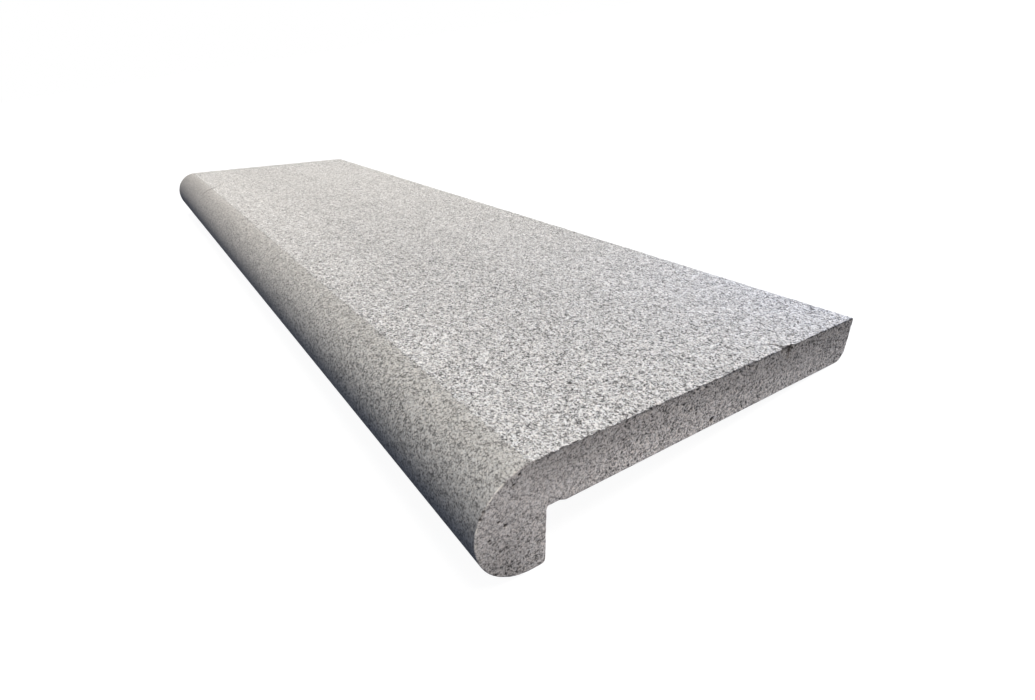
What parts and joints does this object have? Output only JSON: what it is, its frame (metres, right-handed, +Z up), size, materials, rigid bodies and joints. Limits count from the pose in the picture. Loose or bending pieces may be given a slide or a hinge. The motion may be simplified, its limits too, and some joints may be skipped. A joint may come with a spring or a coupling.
{
  "type": "pool coping stone",
  "caption": "Drop-face pool coping of solid granite: rough flamed top, honed half-round nose hanging below the slab, square sawn ends and a rebate behind the nose.",
  "frame": {"origin": "on the floor under the middle of the stone's bounding box, with the stone lying unheld: its toe and its lower back edge touch the floor", "axes": "+X along the pool's edge, the stone's length; +Y from the nose towards the back; +Z up. The section leans back by 7.61 degrees about X from the level in which the stone is laid"},
  "size_m": [1, 0.3018, 0.0664],
  "materials": {
    "granite": "flamed top, honed nose, sawn ends and underside"
  },
  "bodies": {
    "root": {"coping_stone": "granite"}
  },
  "joints": []
}
